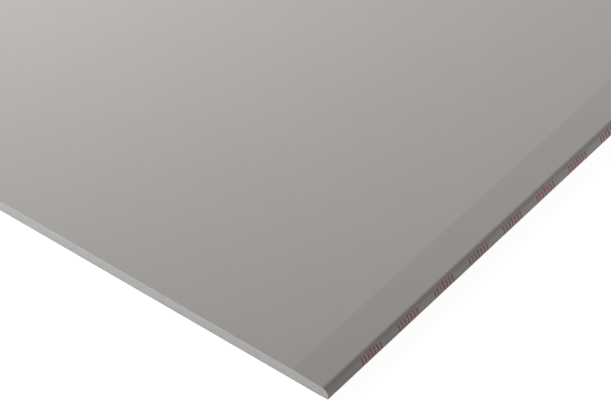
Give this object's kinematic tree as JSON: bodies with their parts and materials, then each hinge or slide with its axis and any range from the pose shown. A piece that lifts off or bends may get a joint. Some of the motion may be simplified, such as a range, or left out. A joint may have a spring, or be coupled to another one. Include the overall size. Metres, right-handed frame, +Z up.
{
  "type": "drywall sheet",
  "caption": "Rectangular gypsum plasterboard sheet with a paper-wrapped core, half-round tapered long edges and square-cut ends, for lining walls and ceilings.",
  "frame": {"origin": "middle of the sheet's outline, on the underside of the back paper, which lies on the floor", "axes": "+X across the width, +Y along the length between the cut ends, +Z up through the thickness, out of the face paper"},
  "size_m": [1.25, 2, 0.015],
  "materials": {
    "gypsum": "matte",
    "face_paper": "matte",
    "back_paper": "matte"
  },
  "bodies": {
    "root": {"gypsum_core": "gypsum", "face_paper": "face_paper", "back_paper": "back_paper"}
  },
  "joints": []
}
